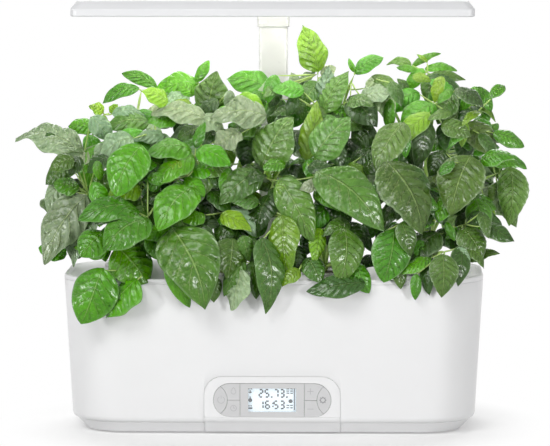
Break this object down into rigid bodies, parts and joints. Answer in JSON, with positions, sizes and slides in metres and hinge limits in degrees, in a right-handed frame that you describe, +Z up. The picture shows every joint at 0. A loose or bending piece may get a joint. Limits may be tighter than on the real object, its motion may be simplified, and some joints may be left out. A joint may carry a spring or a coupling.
{
  "type": "countertop hydroponic garden",
  "caption": "Low tapered tub with a flat lid, planted pods, a front control panel and a wide flat lamp on a sliding mast behind the plants.",
  "frame": {"origin": "on the floor plane under the middle of the tub, 1.6 mm below the flat underside of the bottom cover", "axes": "+X to the right along the length of the tub as seen from the front panel, +Y to the back, +Z up"},
  "size_m": [0.4792, 0.2315, 0.4],
  "materials": {
    "white_shell": "smooth satin white",
    "grey_shell": "smooth light grey",
    "foot_rubber": "dark matt rubber",
    "tank_plastic": "plain white moulded plastic",
    "pin_steel": "drawn steel wire",
    "mast_white": "smooth white",
    "lamp_white": "fine satin white",
    "led_aluminium": "white coated metal board with pale yellow lights",
    "clear_plastic": "clear smooth plastic",
    "panel_white": "smooth white insert",
    "panel_grey": "fine matt light grey",
    "display_glass": "clear window",
    "display_face": "pale cyan display with dark digits",
    "key_grey": "fine matt light grey with plain marks",
    "board_green": "green circuit board",
    "pump_black": "black moulded plastic",
    "float_foam": "yellow closed foam",
    "basket_white": "plain white moulded plastic",
    "sponge_brown": "dark open growing sponge",
    "leaf_bright": "glossy bright green leaves on pale stems",
    "leaf_veined": "darker green leaves with pale veins",
    "leaf_toothed": "grey-green toothed leaves with pale rims"
  },
  "bodies": {
    "tub": {"outer_casing": "white_shell", "base_cover": "grey_shell", "foot_1": "foot_rubber", "foot_2": "foot_rubber", "foot_3": "foot_rubber", "foot_4": "foot_rubber", "water_tank": "tank_plastic", "grow_deck": "white_shell", "flap_pin": "pin_steel", "mast_sleeve": "white_shell", "panel_bezel": "panel_white", "display_frame": "panel_grey", "display_window": "display_glass", "lcd_module": "display_face", "control_board": "board_green", "pump_body": "pump_black", "pump_cover": "pump_black", "riser_tube": "clear_plastic", "level_guide": "tank_plastic", "power_inlet": "pump_black", "basket_1": "basket_white", "basket_2": "basket_white", "basket_3": "basket_white", "basket_4": "basket_white", "basket_5": "basket_white", "basket_6": "basket_white", "basket_7": "basket_white", "basket_8": "basket_white", "sponge_1": "sponge_brown", "sponge_2": "sponge_brown", "sponge_3": "sponge_brown", "sponge_4": "sponge_brown", "sponge_5": "sponge_brown", "sponge_6": "sponge_brown", "sponge_7": "sponge_brown", "sponge_8": "sponge_brown", "plant_1": "leaf_bright", "plant_2": "leaf_bright", "plant_3": "leaf_veined", "plant_4": "leaf_toothed", "plant_5": "leaf_bright", "plant_6": "leaf_bright", "plant_7": "leaf_veined", "plant_8": "leaf_toothed"},
    "lamp_head": {"mast": "mast_white", "lamp_collar": "mast_white", "lamp_housing": "lamp_white", "led_board": "led_aluminium", "lamp_diffuser": "clear_plastic"},
    "flap": {"fill_flap": "white_shell"},
    "impeller": {"pump_impeller": "pump_black"},
    "float": {"level_float": "float_foam"},
    "power_button": {"power_key": "key_grey"},
    "light_button": {"light_key": "key_grey"},
    "pump_button": {"pump_key": "key_grey"},
    "timer_button": {"timer_key": "key_grey"},
    "plus_button": {"plus_key": "key_grey"},
    "minus_button": {"minus_key": "key_grey"}
  },
  "joints": [
    {"name": "mast_slide", "type": "slide", "parent": "tub", "child": "lamp_head", "axis": [0, 0, 1], "range_m": [0, 0.1]},
    {"name": "flap_hinge", "type": "hinge", "parent": "tub", "child": "flap", "pos_m": [0.094, 0.0842, 0.1478], "axis": [-1, 0, 0], "range_deg": [0, 80]},
    {"name": "impeller_spin", "type": "hinge", "parent": "tub", "child": "impeller", "pos_m": [-0.1421, 0, 0.08], "axis": [0, 0, 1], "continuous": true},
    {"name": "float_rise", "type": "slide", "parent": "tub", "child": "float", "axis": [0, 0, 1], "range_m": [0, 0.04]},
    {"name": "power_press", "type": "slide", "parent": "tub", "child": "power_button", "axis": [0, 0.9983, 0.0582], "range_m": [0, 0.0008], "stiffness_N_per_m": 400},
    {"name": "light_press", "type": "slide", "parent": "tub", "child": "light_button", "axis": [0, 0.9983, 0.0582], "range_m": [0, 0.0008], "stiffness_N_per_m": 400},
    {"name": "pump_press", "type": "slide", "parent": "tub", "child": "pump_button", "axis": [0, 0.9983, 0.0582], "range_m": [0, 0.0008], "stiffness_N_per_m": 400},
    {"name": "timer_press", "type": "slide", "parent": "tub", "child": "timer_button", "axis": [0, 0.9983, 0.0582], "range_m": [0, 0.0008], "stiffness_N_per_m": 400},
    {"name": "plus_press", "type": "slide", "parent": "tub", "child": "plus_button", "axis": [0, 0.9983, 0.0582], "range_m": [0, 0.0008], "stiffness_N_per_m": 400},
    {"name": "minus_press", "type": "slide", "parent": "tub", "child": "minus_button", "axis": [0, 0.9983, 0.0582], "range_m": [0, 0.0008], "stiffness_N_per_m": 400}
  ]
}
